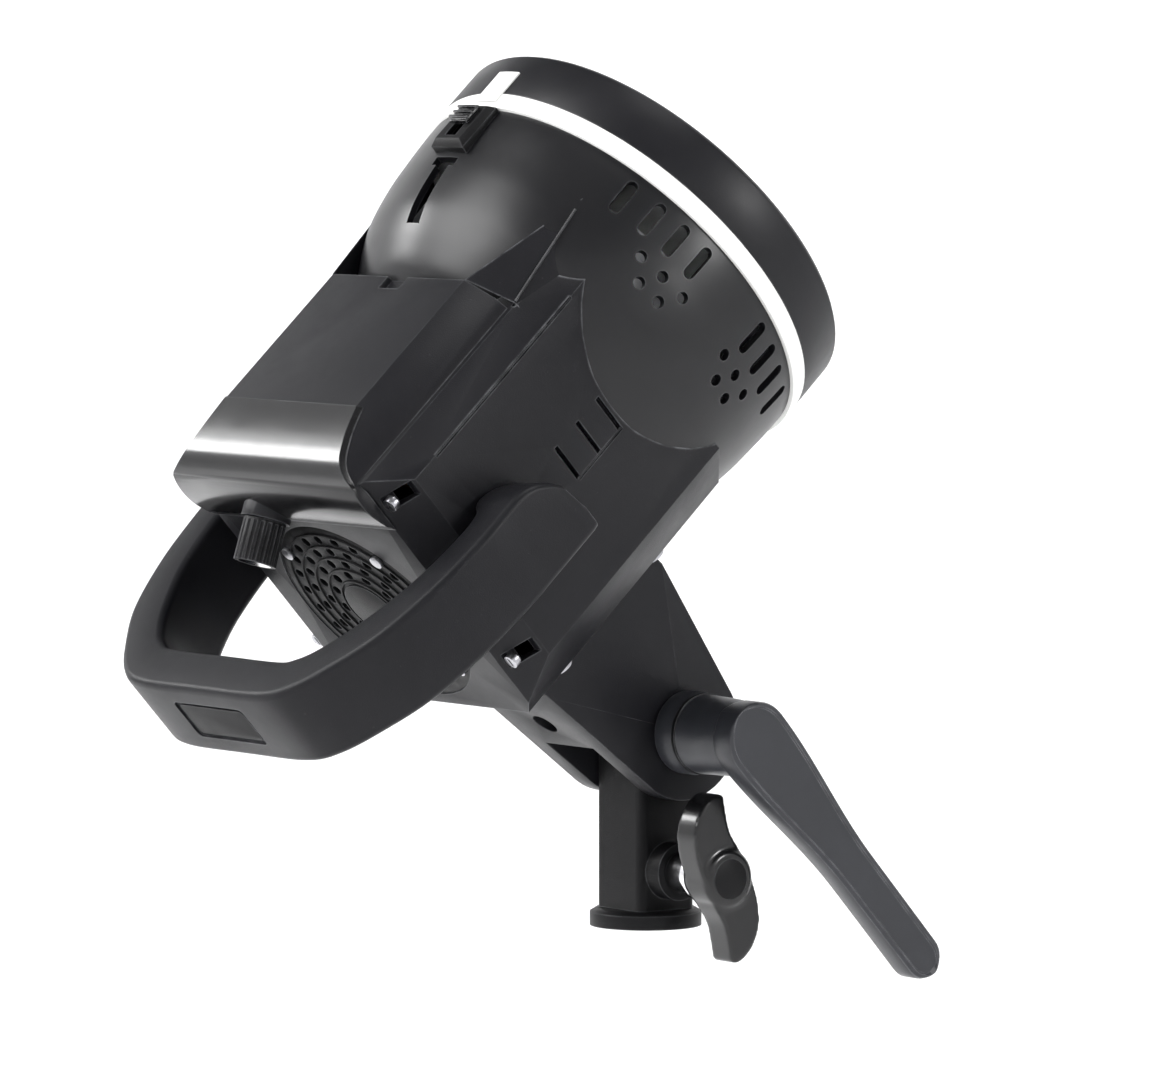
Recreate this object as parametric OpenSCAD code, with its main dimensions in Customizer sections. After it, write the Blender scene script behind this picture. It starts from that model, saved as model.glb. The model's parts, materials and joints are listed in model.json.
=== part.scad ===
/* [Head] */
// Outer radius of the front bayonet ring
ring_r = 71; // [65:0.5:80]
// Depth of the front bayonet ring
ring_d = 18.1; // [12:0.1:30]
// Width of the light trim ring behind it
trim_w = 5.8; // [3:0.1:10]
// Radius of the bayonet opening
bay_r = 50; // [45:0.5:55]
// Half width of the body
body_hw = 55.5; // [45:0.5:65]
// Rear face of the body behind the trim ring
body_rear = 139; // [120:1:160]
// Height of the control box above the axis
box_top = 54.5; // [48:0.5:65]
// Wall thickness of the housing and the bell
wall = 2.5; // [1.5:0.1:4]

/* [Handle] */
// Outer face of the handle's rear bar
handle_rear = 202; // [180:1:230]
// Handle band, lower edge
handle_z0 = -12.8; // [-25:0.1:0]
// Handle band, upper edge
handle_z1 = 15.7; // [5:0.1:25]

/* [Bracket] */
// Pivot behind the trim ring's front
piv_y = 90; // [70:1:110]
// Pivot below the optical axis
piv_z = 115; // [95:1:130]
// Head tilt at rest, up from level
tilt_up = 42.5; // [0:0.5:90]
// Half width over the fork's ears
ear_hw = 20; // [16:0.5:26]
// Half gap between the ears
ear_gap = 11.9; // [9:0.1:14]
// Umbrella hole radius
umb_r = 4.2; // [3.5:0.1:6]
// Umbrella hole below the axis
umb_z = 86; // [80:0.5:95]

/* [Receiver] */
// Pivot height above the socket's mouth
piv_h = 62; // [50:1:80]
// Socket radius for a 16 mm stud
stud_r = 8.1; // [7.9:0.05:8.5]
// Socket depth
stud_d = 40; // [25:1:45]
// Height of the clamp knob above the mouth
knob_h = 18; // [12:0.5:25]
// Tilt bolt radius
bolt_r = 4; // [3:0.1:6]
// Lever length from pivot to tip centre
lever_l = 97; // [60:1:120]

/* [Hidden] */
$fn = 64;
bell_y = -trim_w - 0.05;
blk_x = 23.4;
blk_y = 22;
fan_z = -14;
black = [0.06, 0.06, 0.065];
dark = [0.11, 0.11, 0.115];
steel = [0.7, 0.7, 0.72];
brass_c = [0.78, 0.62, 0.3];

module tilted() translate([0, 0, piv_h]) rotate([tilt_up, 0, 0]) translate([0, piv_y, piv_z]) children();
module ycyl(r, y0, y1, x = 0, z = 0) translate([x, y0, z]) rotate([-90, 0, 0]) cylinder(r = r, h = y1 - y0);
module xcyl(r, x0, x1, y = 0, z = 0) translate([x0, y, z]) rotate([0, 90, 0]) cylinder(r = r, h = x1 - x0);
module prism(y0, y1) translate([0, y1, 0]) rotate([90, 0, 0]) linear_extrude(y1 - y0) children();
module xprism(x0, x1) translate([x0, 0, 0]) rotate([90, 0, 90]) linear_extrude(x1 - x0) children();
module rev() rotate([-90, 0, 0]) rotate_extrude() children();
module box(a, b) translate(a) cube(b - a);
module both() { children(); mirror([1, 0, 0]) children(); }

// ---------- stand receiver: block, flange, socket ----------
module blk2d() hull() for (i = [-1, 1], j = [-1, 1])
  translate([i * (blk_x / 2 - 3), j * (blk_y / 2 - 3)]) circle(3);
module receiver() color(dark) difference() {
  union() {
    translate([0, 0, 5]) linear_extrude(piv_h - 5) blk2d();
    xcyl(blk_y / 2, -blk_x / 2, blk_x / 2, 0, piv_h);
    cylinder(r = 17.5, h = 4.3);
    translate([0, 0, 4.3]) cylinder(r1 = 17.5, r2 = 15.5, h = 1.2);
    xcyl(9, blk_x / 2 - 1, 18, 0, knob_h);
  }
  translate([0, 0, -1]) cylinder(r = stud_r, h = stud_d + 1);
  xcyl(bolt_r + 0.1, -20, 20, 0, piv_h);
  xcyl(6, 10.4, 20, 0, knob_h);
  xcyl(4.1, 4, 12, 0, knob_h);
  both() xcyl(14, 10.7, 14, 0, piv_h);
}
module receiver_insert() color(brass_c) difference() {
  xcyl(6, 10.45, 18, 0, knob_h);
  xcyl(4.05, 9, 20, 0, knob_h);
}
module tilt_washers() color(steel) both() difference() {
  xcyl(10.5, 10.72, 11.78, 0, piv_h);
  xcyl(bolt_r + 0.15, 9, 14, 0, piv_h);
}
module stand_pad() color(brass_c) xcyl(3.9, stud_r + 0.15, 10.2, 0, knob_h);
module stand_screw() color(steel) union() {
  xcyl(4, 10.3, 30.5, 0, knob_h);
  xcyl(4, 30.5, 37, 0, knob_h);
}
module stand_sleeve() color(steel) difference() {
  union() {
    xcyl(6.4, 18.3, 30, 0, knob_h);
    xcyl(7.6, 26.5, 28.8, 0, knob_h);
  }
  xcyl(4.02, 17, 31, 0, knob_h);
}
module stand_knob() color(black) difference() {
  translate([0, 0, knob_h]) rotate([23, 0, 0]) union() {
    xcyl(9.5, 30.05, 43, 0, 0);
    for (s = [0, 180]) rotate([s, 0, 0]) {
      xprism(31.5, 41.5) polygon([[-7.5, 2], [-8.3, 11], [-6.5, 18.5], [-1, 24.5], [6, 26.5], [9, 24],
        [7.2, 19], [6.2, 12], [8, 2]]);
    }
  }
  xcyl(4.02, 29, 37.1, 0, knob_h);
}

// ---------- fork bracket below the body ----------
module bracket() color(dark) difference() {
  union() {
    xprism(-ear_hw, ear_hw) polygon([[-piv_y - 32, -54.1], [-piv_y - 32, -60], [-piv_y - 30, -70],
      [-piv_y - 21.2, -piv_z - 3.5], [-piv_y + 21.2, -piv_z - 3.5], [-piv_y + 29, -70],
      [-piv_y + 27, -54.1]]);
    xcyl(21.5, -ear_hw, ear_hw, -piv_y, -piv_z);
    xprism(-34, 34) polygon([[-piv_y - 32, -54.1], [-piv_y - 32, -58],
      [-piv_y + 27, -58], [-piv_y + 27, -54.1]]);
  }
  xprism(-ear_gap, ear_gap) polygon([[-piv_y - 40, -98], [-piv_y - 40, -150],
    [-piv_y + 40, -150], [-piv_y + 40, -98]]);
  xcyl(bolt_r + 0.2, -30, 30, -piv_y, -piv_z);
  ycyl(umb_r, -piv_y - 40, -piv_y + 40, 0, -umb_z);
  xcyl(6, -30, -10, -piv_y, -umb_z);
  xcyl(3.1, -30, 0, -piv_y, -umb_z);
  for (i = [-1, 1], j = [-1, 1])
    translate([i * 28, -piv_y + j * 24, -70]) cylinder(r = 2.2, h = 20, $fn = 24);
}
module bracket_screws() color(steel) for (i = [-1, 1], j = [-1, 1]) translate([i * 28, -piv_y + j * 24, 0])
  difference() {
    union() {
      translate([0, 0, -61.05]) cylinder(r = 3.6, h = 3, $fn = 24);
      translate([0, 0, -58.1]) cylinder(r = 2, h = 6, $fn = 24);
    }
    translate([0, 0, -62]) cylinder(r = 1.6, h = 2.6, $fn = 6);
  }
module tilt_bolt() color(steel) difference() {
  union() {
    xcyl(bolt_r, -21, 42, -piv_y, -piv_z);
    xcyl(8, -25.5, -ear_hw - 0.1, -piv_y, -piv_z);
  }
  xcyl(3, -26, -22.5, -piv_y, -piv_z, $fn = 6);
}
module umbrella_insert() color(brass_c) difference() {
  xcyl(6, -19.9, -10.05, -piv_y, -umb_z);
  xcyl(3.05, -21, -9, -piv_y, -umb_z);
}
module umbrella_pad() color(brass_c) xcyl(2.95, -6.4, -umb_r - 0.25, -piv_y, -umb_z);
module umbrella_screw() color(steel) xcyl(3, -34, -6.5, -piv_y, -umb_z);
module umbrella_knob() color(black) difference() {
  union() {
    xcyl(6.5, -24.5, -21.2, -piv_y, -umb_z);
    xcyl(11, -36.5, -24.5, -piv_y, -umb_z);
  }
  xcyl(3.02, -34.1, -20, -piv_y, -umb_z);
  for (a = [0:30:330]) translate([0, -piv_y, -umb_z]) rotate([a, 0, 0])
    xcyl(1.4, -38, -26, 11.4, 0, $fn = 16);
}

// ---------- tilt lever on the right ear ----------
module tilt_lever() color([0.2, 0.2, 0.205]) translate([0, -piv_y, -piv_z]) difference() {
  union() {
    xcyl(13, ear_hw + 0.3, 47, 0, 0);
    xcyl(12, 46, 57.5, 0, 0);
    xprism(48, 57.5) polygon([[-11.9, 2], [-11, -12], [-8.2, -40], [-7.2, -lever_l], [7.2, -lever_l],
      [8.2, -40], [11, -12], [11.9, 2]]);
    xcyl(7.2, 48, 56, 0, -lever_l);
  }
  xcyl(6, 10, 44, 0, 0);
  xprism(57, 60) polygon([[-9.6, 0], [-8.8, -12], [-6.2, -40], [-5.2, -lever_l + 1], [5.2, -lever_l + 1],
    [6.2, -40], [8.8, -12], [9.6, 0]]);
}
module lever_insert() color(brass_c) difference() {
  xcyl(5.98, ear_hw + 0.5, 43.9, -piv_y, -piv_z);
  xcyl(bolt_r + 0.05, 10, 50, -piv_y, -piv_z);
}

// ---------- body shell ----------
module oct2d() polygon([[-47, 43], [-body_hw, 35], [-body_hw, -38.5], [-42, -54], [42, -54], [body_hw, -38.5],
  [body_hw, 35], [47, 43]]);
module plan2d(g = 0) polygon([[-body_hw - 1 + g, -10], [-body_hw - 1 + g, -127], [-46 + g, -body_rear + g],
  [46 - g, -body_rear + g], [body_hw + 1 - g, -127], [body_hw + 1 - g, -10]]);
function bell_prof() = [[69.6, bell_y], [69.5, -12], [69, -20], [68.1, -30], [66, -41], [63.3, -48],
  [60.2, -54], [56.4, -60], [52.5, -64]];
module bell_solid(g = 0) rotate([-90, 0, 0]) rotate_extrude($fn = 240)
  polygon(concat([[0, bell_y]], [for (p = bell_prof()) [p[0] + g, p[1]]], [[0, -64]]));
module main_housing() color(dark) difference() {
  intersection() {
    prism(-body_rear, -40) oct2d();
    translate([0, 0, -60]) linear_extrude(120) plan2d();
  }
  intersection() {
    prism(-body_rear + wall, -64) offset(delta = -wall) oct2d();
    translate([0, 0, -60]) linear_extrude(120) plan2d(wall + 0.4);
  }
  bell_solid(0.1);
  ycyl(52, -66, -60, 0, 0, $fn = 240);
  ycyl(36, -body_rear - 1, -body_rear + 4, 0, fan_z);
  both() {
    for (y = [-63.4, -73.7, -84.5]) box([body_hw - 3, y - 0.8, -7.3], [body_hw + 1, y + 0.8, 5.5]);
    box([body_hw - 0.6, -84.5, -8.1], [body_hw + 1, -62.6, -7.2]);
    box([body_hw - 0.7, -118, 34.2], [body_hw + 1, -50, 35.2]);
    box([45.8, -63, 42.2], [47.2, -18, 44]);
    for (z = [30, -36]) box([47.4, -body_rear - 1, z], [60, -129, z + 5.5]);
  }
  both() for (y = [-103.5, -114.5]) xcyl(2.1, 50, 58, y, 0, $fn = 24);
  // display, buttons, inlet and switch openings in the left side
  box([-60, -92, 13], [-50, -64, 28]);
  for (y = [-99, -109]) xcyl(3.6, -60, -50, y, 24, $fn = 32);
  box([-60, -94, -35], [-50, -66, -14.6]);
  box([-60, -118.4, -34], [-50, -99.6, -20.6]);
  for (i = [-1, 1], j = [-1, 1]) translate([i * 28, -piv_y + j * 24, -56]) cylinder(r = 2.1, h = 6, $fn = 24);
}
module case_screws() color(steel) both() for (z = [32.75, -33.25]) difference() {
  ycyl(2.3, -137.5, -135.2, 50, z, $fn = 24);
  box([49.6, -138, z - 1.6], [50.4, -136.6, z + 1.6]);
}
module top_cover() color(dark) difference() {
  union() {
    intersection() {
      xprism(-47, 47) polygon([[-64, 43.05], [-64, box_top], [-117.6, box_top], [-131, 51.9], [-136.6, 50],
        [-140.4, 47], [-142.6, 43], [-143.2, 38], [-142.6, 33], [-140.8, 27.5], [-139.05, 24],
        [-139.05, 43.05]]);
      prism(-145, -63) polygon([[-47, 20], [-47, 40], [-43, 47], [-33.8, box_top], [33.8, box_top], [43, 47],
        [47, 40], [47, 20]]);
    }
    translate([-12, -139.6, 30.5]) rotate([120, 0, 0]) cylinder(r = 7.6, h = 4.5);
  }
  prism(-118, -66.5) polygon([[-40.5, 43], [-40.5, 45.5], [-32.6, box_top - wall], [32.6, box_top - wall],
    [40.5, 45.5], [40.5, 43]]);
  prism(-134, -117) polygon([[-40.5, 43], [-40.5, 45], [-36, 48.5], [36, 48.5], [40.5, 45], [40.5, 43]]);
  box([-30, -139.04, 15], [10, -130, 43.0]);
  translate([-12, -139.6, 30.5]) rotate([120, 0, 0])
    translate([0, 0, -1]) cylinder(r = 3.05, h = 10, $fn = 32);
  prism(-69, -60) polygon([[-6.5, 58], [6.5, 58], [4.5, 52.7], [-4.5, 52.7]]);
}
module control_knob() color(black) translate([-12, -139.6, 30.5]) rotate([120, 0, 0]) difference() {
  union() {
    translate([0, 0, 1.4]) cylinder(r = 3, h = 3.9, $fn = 32);
    translate([0, 0, 4.7]) cylinder(r = 6.6, h = 13.3, $fn = 48);
  }
  for (a = [0:20:340]) rotate(a) translate([6.9, 0, 5.5]) cylinder(r = 0.7, h = 14, $fn = 16);
  translate([0, 0, 17.2]) cylinder(r = 5.2, h = 2, $fn = 32);
}
module knob_cap() color([0.05, 0.06, 0.09]) translate([-12, -139.6, 30.5]) rotate([120, 0, 0])
  translate([0, 0, 17.25]) cylinder(r = 5.15, h = 0.8, $fn = 32);
module rear_grille() color(black) difference() {
  union() {
    ycyl(35.9, -body_rear + 0.3, -body_rear + 2.3, 0, fan_z);
    ycyl(11, -body_rear - 0.4, -body_rear + 1, 0, fan_z);
  }
  translate([0, 0, fan_z]) for (k = [0:3]) for (a = [0:360 / (12 + 4 * k):359]) rotate([0, a + k * 9, 0])
    ycyl(1.8, -body_rear - 2, -body_rear + 4, 14.8 + 5 * k, 0, $fn = 16);
}
module grille_screws() color(steel) for (i = [-1, 1], j = [-1, 1])
  ycyl(2.2, -body_rear - 0.9, -body_rear + 0.2, i * 23, fan_z + j * 23, $fn = 24);
module bell() color([0.05, 0.05, 0.055]) difference() {
  rev() polygon(concat([for (p = bell_prof()) p],
    [for (i = [8:-1:0]) [bell_prof()[i][0] - wall, bell_prof()[i][1]]]));
  both() for (s = [-1, 1]) {
    for (a = [13, 21, 29, 38]) rotate([0, -s * a, 0]) {
      box([60, -19, -1.9], [75, -10.5, 1.9]);
      xcyl(1.9, 60, 75, -19, 0, $fn = 16);
      xcyl(1.9, 60, 75, -10.5, 0, $fn = 16);
    }
    for (a = [10, 17.5, 25]) rotate([0, -s * a, 0]) xcyl(1.9, 55, 75, -26, 0, $fn = 16);
    for (a = [14, 21]) rotate([0, -s * a, 0]) xcyl(1.9, 55, 75, -32.5, 0, $fn = 16);
  }
  box([-5.5, -29, 50], [5.5, -25.8, 72]);
  box([-3.2, -49, 50], [3.2, -28.9, 72]);
  box([-2.6, -21, 50], [2.6, -9, 72]);
}
module trim_ring() color([0.92, 0.92, 0.9]) union() {
  rev() polygon([[66.5, -trim_w], [ring_r - 0.2, -trim_w], [ring_r, -trim_w + 0.4], [ring_r, 0], [66.5, 0]]);
  intersection() {
    rev() polygon([[70.2, -4], [ring_r + 0.7, -4], [ring_r + 0.7, 9], [ring_r + 0.06, 9],
      [ring_r + 0.06, 0], [70.2, 0]]);
    box([-5, -5, 60], [5, 10, 80]);
  }
}
module bayonet_ring() color(black) difference() {
  rev() polygon([[66, 0.05], [ring_r, 0.05], [ring_r, ring_d - 1.5], [ring_r - 1.5, ring_d], [bay_r, ring_d],
    [bay_r, ring_d - 3.6], [66, ring_d - 3.6]]);
  for (a = [90, 210, 330]) rotate([0, a, 0]) difference() {
    ycyl(56, ring_d - 5, ring_d + 2);
    ycyl(bay_r - 0.5, ring_d - 6, ring_d + 3);
    for (s = [-1, 1]) rotate([0, s * 12.5, 0])
      box([-70, ring_d - 7, s > 0 ? -70 : 0], [70, ring_d + 3, s > 0 ? 0 : 70]);
    box([-70, ring_d - 7, -70], [0, ring_d + 3, 70]);
  }
  ycyl(2.1, ring_d - 5, ring_d + 2, 0, 60, $fn = 24);
}

// ---------- lamp and internal parts ----------
module front_plate() color([0.85, 0.85, 0.86]) difference() {
  ycyl(66.3, -3.5, -1.5);
  ycyl(33.1, -5, 1);
  ycyl(2.3, -5, 1, 0, 60, $fn = 24);
}
module glass_dome() color([0.9, 0.93, 0.95, 0.4]) rev() polygon([[31, -3.4], [33, -3.4], [33, 8], [31.6, 13],
  [28, 17.5], [22, 21], [12, 23.4], [0, 24], [0, 22], [11.5, 21.5], [21, 19.2], [26.6, 16],
  [29.8, 12], [31, 8]]);
module lamp_base() color([0.93, 0.92, 0.88]) difference() {
  ycyl(30.8, -8, -3.4);
  for (x = [-22, 22]) ycyl(2.6, -9, 0, x, 0, $fn = 24);
}
module flash_tube() color([0.85, 0.88, 0.92, 0.5]) union() {
  translate([0, 7, 0]) rotate([-90, 0, 0]) rotate_extrude() translate([22, 0]) circle(3.5, $fn = 24);
  for (x = [-22, 22]) ycyl(2.5, -8, 6, x, 0, $fn = 24);
}
module modelling_led() color([0.95, 0.85, 0.35]) union() {
  box([-13, -3.3, -13], [13, -1.6, 13]);
  ycyl(9.5, -1.7, -0.6);
}
module heat_sink() color(steel) intersection() {
  union() {
    box([-50, -15, -50], [50, -8.1, 50]);
    for (i = [-6:6]) box([i * 6.6 - 0.9, -58, -50], [i * 6.6 + 0.9, -14, 50]);
  }
  ycyl(44, -60, 0);
}
module capacitors() color([0.12, 0.13, 0.2]) for (x = [-22, 4, 30]) union() {
  ycyl(11.5, -112, -70, x, -36, $fn = 32);
  ycyl(9.5, -113.5, -111, x, -36, $fn = 32);
}
module driver_board() color([0.05, 0.25, 0.12]) union() {
  box([-36, -116, -19], [46, -68, -17.4]);
  box([20, -86, -17.5], [40, -74, -8]);
  for (y = [-112, -104, -96]) box([24, y, -17.5], [38, y + 5, -9]);
}
module transformer() color([0.6, 0.4, 0.12]) union() {
  box([-16, -106, -17.3], [10, -76, 2]);
  box([-12, -102, 1.9], [6, -80, 6]);
}
module control_board() color([0.05, 0.25, 0.12]) union() {
  box([-38, -112, 44], [38, -70, 45.4]);
  box([-10, -98, 45.3], [2, -86, 47.4]);
}
module display_window() color([0.02, 0.03, 0.04]) union() {
  box([-55.7, -91.9, 13.1], [-53.5, -64.1, 27.9]);
  box([-53.6, -90, 14.5], [-52.4, -66, 26.5]);
}
module fan_frame() color(black) difference() {
  box([-35, -134.5, fan_z - 35], [35, -119, fan_z + 35]);
  difference() {
    ycyl(33, -136, -118, 0, fan_z);
    difference() {
      ycyl(13, -134.5, -132.5, 0, fan_z);
      ycyl(2.05, -135, -132, 0, fan_z, $fn = 24);
    }
    for (a = [45, 135, 225, 315]) translate([0, 0, fan_z]) rotate([0, a, 0])
      box([12, -134.5, -2], [34, -132.5, 2]);
  }
  for (i = [-1, 1], j = [-1, 1]) ycyl(2, -136, -118, i * 31, fan_z + j * 31, $fn = 16);
}
module fan_rotor() color([0.16, 0.16, 0.17]) translate([0, 0, fan_z]) union() {
  ycyl(2, -134.4, -131, 0, 0, $fn = 24);
  ycyl(12.5, -131.8, -120.5);
  for (a = [0:360 / 7:359]) rotate([0, a, 0]) translate([11.5, -126, 0]) rotate([38, 0, 0])
    box([0, -1, -9], [20, 1, 9]);
}
module power_inlet() color(black) difference() {
  union() {
    box([-57.5, -94, -35], [-55.55, -66, -14.6]);
    box([-55.6, -92, -33.6], [-38, -68, -16]);
  }
  box([-60, -90, -31.5], [-41, -70, -18]);
  inlet_pins();
}
module inlet_pins() color(steel) for (y = [-85, -80, -75]) box([-52, y - 1, -26.5], [-37, y + 1, -22.5]);

// ---------- handle ----------
module handle2d() polygon([[0, -handle_rear], [31, -handle_rear], [43, -198], [54, -187.5],
  [65, -173], [72.5, -152],
  [75.5, -133], [75.5, -98], [55.6, -98], [55.6, -120], [61.5, -122], [61.5, -134], [57, -154], [48, -171],
  [38.5, -182], [28, -186.3], [0, -186.3]]);
module handle() color(dark) difference() {
  intersection() {
    both() translate([0, 0, handle_z0]) linear_extrude(handle_z1 - handle_z0) union() {
      handle2d();
      translate([-0.1, -handle_rear]) square([1, handle_rear - 186.3]);
    }
    xprism(-90, 90) polygon([[-210, -40], [-210, 30], [-118, 30], [-113, 15.7],
      [-104.5, 11.8], [-99.5, 5], [-98, -3],
      [-98, -40]]);
  }
  box([-18, -handle_rear - 1, -6], [18, -handle_rear + 0.8, 9]);
  both() for (y = [-103.5, -114.5]) xcyl(2.1, 54, 66, y, 0, $fn = 24);
}
module handle_screws() color(steel) both() for (y = [-103.5, -114.5]) difference() {
  union() {
    xcyl(3.6, 50.4, 52.95, y, 0, $fn = 24);
    xcyl(2, 52.9, 65, y, 0, $fn = 24);
  }
  xcyl(1.6, 50, 51.8, y, 0, $fn = 6);
}

// ---------- bayonet lock on top of the bell ----------
module lock_housing() color(black) difference() {
  hull() {
    box([-8, -24, 60], [8, -6.3, 71]);
    box([-6, -22, 60], [6, -7.6, 72.9]);
  }
  bell_solid(0.06);
  box([-4.2, -20.6, 60], [4.2, -9.6, 71]);
  box([-2.6, -20.6, 60], [2.6, -9.6, 76]);
}
module lock_slider() color([0.1, 0.1, 0.1]) union() {
  box([-4.5, -15.8, 73], [4.5, -8.8, 74.4]);
  for (y = [-14.9, -12.7, -10.5]) box([-4.5, y, 74.3], [4.5, y + 0.9, 75.3]);
  box([-2.45, -14.6, 58], [2.45, -10.4, 73.1]);
}
module lock_pin() color(steel) ycyl(2, -10.35, ring_d - 0.6, 0, 60, $fn = 24);

// ---------- moving controls ----------
module power_rocker() color(black) translate([-53, -109, -33.8]) rotate(7) intersection() {
  linear_extrude(13) polygon([[2, -8], [-4.6, -9.3], [-3.2, 0], [-4.6, 9.3], [2, 8]]);
  cylinder(r = 9.2, h = 13, $fn = 48);
}
module button(y) color([0.25, 0.25, 0.26]) union() {
  xcyl(3.52, -57.2, -52, y, 24, $fn = 32);
  xcyl(4.6, -52.1, -51, y, 24, $fn = 32);
}
module button_mode() button(-99);
module button_test() button(-109);

receiver();
receiver_insert();
tilt_washers();
stand_pad();
stand_knob();
stand_sleeve();
stand_screw();
tilted() bracket();
tilted() bracket_screws();
tilted() tilt_bolt();
tilted() main_housing();
tilted() top_cover();
tilted() rear_grille();
tilted() grille_screws();
tilted() case_screws();
tilted() bell();
tilted() trim_ring();
tilted() bayonet_ring();
tilted() front_plate();
tilted() glass_dome();
tilted() lamp_base();
tilted() flash_tube();
tilted() modelling_led();
tilted() heat_sink();
tilted() capacitors();
tilted() driver_board();
tilted() transformer();
tilted() control_board();
tilted() display_window();
tilted() fan_frame();
tilted() power_inlet();
tilted() inlet_pins();
tilted() handle();
tilted() handle_screws();
tilted() lock_housing();
tilted() fan_rotor();
tilted() control_knob();
tilted() knob_cap();
tilted() lock_slider();
tilted() lock_pin();
tilted() power_rocker();
tilted() button_mode();
tilted() button_test();
tilted() umbrella_insert();
tilted() umbrella_pad();
tilted() umbrella_knob();
tilted() umbrella_screw();
tilted() tilt_lever();
tilted() lever_insert();
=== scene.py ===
"""Looks for a studio flash head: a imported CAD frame, finer skins and procedural finishes."""
import json
import math

import bmesh
import bpy
from mathutils import Matrix, Vector


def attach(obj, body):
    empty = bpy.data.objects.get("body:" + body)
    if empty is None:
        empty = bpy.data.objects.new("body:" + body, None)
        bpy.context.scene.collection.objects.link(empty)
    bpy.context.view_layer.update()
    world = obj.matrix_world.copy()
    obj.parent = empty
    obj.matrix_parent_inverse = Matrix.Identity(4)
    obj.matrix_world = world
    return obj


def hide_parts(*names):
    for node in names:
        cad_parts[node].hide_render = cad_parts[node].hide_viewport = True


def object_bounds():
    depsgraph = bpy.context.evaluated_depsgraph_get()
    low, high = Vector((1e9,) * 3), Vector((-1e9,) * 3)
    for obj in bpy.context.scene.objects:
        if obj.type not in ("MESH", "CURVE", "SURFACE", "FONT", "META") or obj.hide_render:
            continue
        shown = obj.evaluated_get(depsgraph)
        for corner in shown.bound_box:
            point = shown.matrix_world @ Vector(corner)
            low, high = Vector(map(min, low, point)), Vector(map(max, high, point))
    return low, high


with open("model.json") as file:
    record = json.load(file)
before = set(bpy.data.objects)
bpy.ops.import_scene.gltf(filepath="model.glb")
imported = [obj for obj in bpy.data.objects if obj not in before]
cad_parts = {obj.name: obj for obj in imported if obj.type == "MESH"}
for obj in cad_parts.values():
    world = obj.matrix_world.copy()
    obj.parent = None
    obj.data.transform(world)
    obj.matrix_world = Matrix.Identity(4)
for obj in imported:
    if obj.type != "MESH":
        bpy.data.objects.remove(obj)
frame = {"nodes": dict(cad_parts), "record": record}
CAD_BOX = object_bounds()

# ------------------------------------------------------------------ sizes, in millimetres
MM = 0.001
RING_D = 18.1                    # bayonet ring, front to back
WALL = 2.5                       # bell's wall
HANDLE_Z = (-12.8, 15.7)         # handle's lower and upper face
HANDLE_ROOT = -98.0              # front end of the handle's arms
PIVOT = Vector((0, -90, -115))   # tilt pivot in the head's own millimetres
LEVER_X = (48.0, 57.4)           # lever's inner and outer face
LEVER_L = 97.0                   # pivot to tip centre
LEVER_HEAD_R = 11.9
LEVER_TIP_R = 7.1
LEVER_WAIST = 7.4
KNOB_H = 18.0                    # clamp knob above the socket's mouth
BELL_PROFILE = [(69.6, -5.85), (69.5, -12), (69, -20), (68.1, -30), (66, -41), (63.3, -48),
                (60.2, -54), (56.4, -60), (52.5, -64)]   # (radius, place along the beam)

# ------------------------------------------------------------------ stage, in metres
FLOOR_DROP = 0.32                # floor below the object's lowest point
FLOOR_REACH, FLOOR_RISE, FLOOR_BEND = 4.4, 3.4, 1.6
FLOOR_GLOW = 0.28
WORLD_LIGHT = 0.2
LAMPS = (   # name, place from the object's middle, width, power
    ("key", (-0.8, -2.2, 1.8), 2.2, 120), ("top", (0.6, 0.4, 2.6), 1.2, 26),
    ("side", (2.4, 1.0, 0.9), 0.6, 26), ("rim", (-1.9, -1.1, 1.0), 0.6, 22))
CAMERA_PLACE = (1.819, -1.415, 0.2785)
CAMERA_AIM = (0.0, -0.028, 0.122)
CAMERA_LENS = 232                # focal length in millimetres

# ------------------------------------------------------------------ the head's own axes, from the frame
record = frame["record"]
mounts = {m["name"]: m for m in record["mounts"]}
front = mounts["accessory_bayonet"]
AHEAD = Vector(front["axis"]).normalized()
ACROSS = Vector((1, 0, 0))
UP = ACROSS.cross(AHEAD)
HEAD = Matrix.Translation(Vector(front["pos_m"]) - AHEAD * RING_D * MM) @ Matrix(
    (ACROSS, AHEAD, UP)).transposed().to_4x4() @ Matrix.Scale(MM, 4)
BASE = Matrix.Scale(MM, 4)


# ------------------------------------------------------------------ materials
def node_material(name):
    mat = bpy.data.materials.new(name)
    mat.use_nodes = True
    tree = mat.node_tree
    return mat, tree, tree.nodes["Principled BSDF"]


def add(tree, kind, **values):
    node = tree.nodes.new(kind)
    for key, value in values.items():
        if key in node.inputs:
            node.inputs[key].default_value = value
        else:
            setattr(node, key, value)
    return node


def noise(tree, coord, scale, detail=3.0, rough=0.55, stretch=None):
    """Noise over the object's own coordinates; stretch draws it out into streaks."""
    vector = coord
    if stretch:
        mapping = add(tree, "ShaderNodeMapping")
        mapping.inputs["Scale"].default_value = stretch
        tree.links.new(coord, mapping.inputs["Vector"])
        vector = mapping.outputs["Vector"]
    node = add(tree, "ShaderNodeTexNoise", Scale=scale, Detail=detail, Roughness=rough)
    tree.links.new(vector, node.inputs["Vector"])
    return node.outputs["Fac"]


def remap(tree, value, low, high, to_low, to_high):
    node = add(tree, "ShaderNodeMapRange")
    for key, number in (("From Min", low), ("From Max", high), ("To Min", to_low), ("To Max", to_high)):
        node.inputs[key].default_value = number
    tree.links.new(value, node.inputs["Value"])
    return node.outputs["Result"]


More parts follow.
